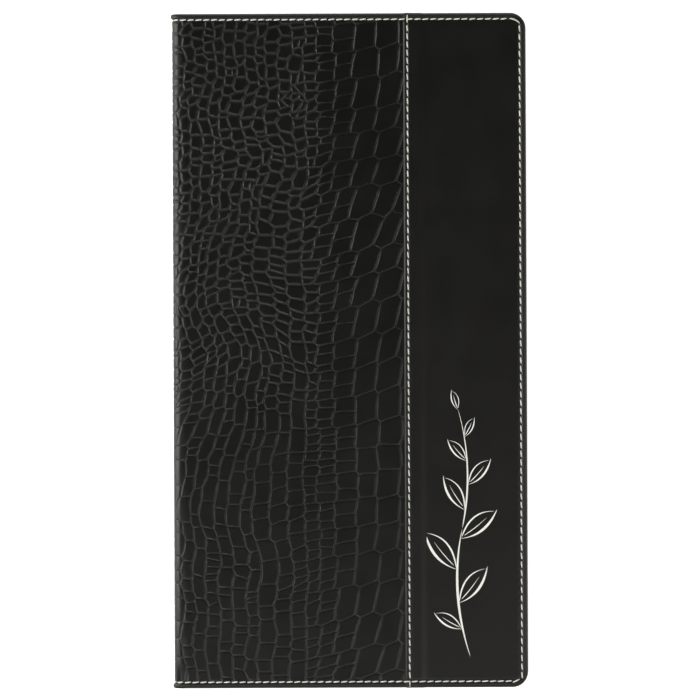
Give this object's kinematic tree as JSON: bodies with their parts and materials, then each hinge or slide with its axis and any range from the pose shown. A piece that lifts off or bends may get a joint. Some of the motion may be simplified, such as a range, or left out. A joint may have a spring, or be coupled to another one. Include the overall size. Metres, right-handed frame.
{
  "type": "menu cover",
  "caption": "Tall slim book-style menu cover in black embossed and plain leatherette, top-stitched, opening flat, with clear sleeves that hold the menu sheets.",
  "frame": {"origin": "middle of the closed cover's outline, on the plane of its back face", "axes": "+X from the spine to the fore edge, +Y up the page, +Z from the back face to the front face"},
  "size_m": [0.181, 0.345, 0.0124],
  "materials": {
    "croc_leatherette": "black leatherette embossed with reptile scales, satin",
    "plain_leatherette": "black leatherette, plain fine grain, matt",
    "board": "grey bookbinding board",
    "lining_cloth": "black lining cloth, matt",
    "thread": "off-white sewing thread",
    "black_thread": "black sewing thread",
    "fold_plastic": "black flexible plastic sheet",
    "ribbon": "black woven ribbon",
    "clear_film": "clear flexible film, glossy",
    "menu_paper": "uncoated off-white card"
  },
  "bodies": {
    "back_cover": {"back_board": "board", "back_skin": "croc_leatherette", "back_lining": "lining_cloth", "back_stitches": "thread"},
    "spine": {"spine_skin": "croc_leatherette", "spine_stiffener": "board", "spine_lining": "lining_cloth", "spine_stitches": "thread", "insert_fold": "fold_plastic", "insert_ribbon": "ribbon", "ribbon_stitches": "black_thread"},
    "front_cover": {"front_board": "board", "front_croc_panel": "croc_leatherette", "front_plain_strip": "plain_leatherette", "front_lining": "lining_cloth", "front_stitches": "thread", "seam_stitches": "thread"},
    "back_leaf": {"back_sleeve": "clear_film"},
    "back_leaf_rear_sheet": {"back_sleeve_rear_sheet": "menu_paper"},
    "back_leaf_fore_sheet": {"back_sleeve_fore_sheet": "menu_paper"},
    "front_leaf": {"front_sleeve": "clear_film"},
    "front_leaf_rear_sheet": {"front_sleeve_rear_sheet": "menu_paper"},
    "front_leaf_fore_sheet": {"front_sleeve_fore_sheet": "menu_paper"}
  },
  "joints": [
    {"name": "spine_fold", "type": "hinge", "parent": "back_cover", "child": "spine", "pos_m": [-0.08964, 0, 0.00086], "axis": [0, -1, 0], "range_deg": [0, 90]},
    {"name": "front_fold", "type": "hinge", "parent": "spine", "child": "front_cover", "pos_m": [-0.08964, 0, 0.01114], "axis": [0, -1, 0], "range_deg": [0, 90]},
    {"name": "back_leaf_turn", "type": "hinge", "parent": "spine", "child": "back_leaf", "pos_m": [-0.0845, 0, 0.005], "axis": [0, -1, 0], "range_deg": [-81, 0]},
    {"name": "front_leaf_turn", "type": "hinge", "parent": "spine", "child": "front_leaf", "pos_m": [-0.0845, 0, 0.007], "axis": [0, -1, 0], "range_deg": [0, 81]},
    {"name": "back_rear_sheet_pull", "type": "slide", "parent": "back_leaf", "child": "back_leaf_rear_sheet", "axis": [0, 1, 0], "range_m": [0, 0.3]},
    {"name": "back_fore_sheet_pull", "type": "slide", "parent": "back_leaf", "child": "back_leaf_fore_sheet", "axis": [0, 1, 0], "range_m": [0, 0.3]},
    {"name": "front_rear_sheet_pull", "type": "slide", "parent": "front_leaf", "child": "front_leaf_rear_sheet", "axis": [0, 1, 0], "range_m": [0, 0.3]},
    {"name": "front_fore_sheet_pull", "type": "slide", "parent": "front_leaf", "child": "front_leaf_fore_sheet", "axis": [0, 1, 0], "range_m": [0, 0.3]}
  ],
  "couplings": [
    {"joint": "spine_fold", "follows": "front_fold", "ratio": 1},
    {"joint": "back_leaf_turn", "follows": "front_fold", "ratio": -0.9},
    {"joint": "front_leaf_turn", "follows": "front_fold", "ratio": 0.9}
  ]
}
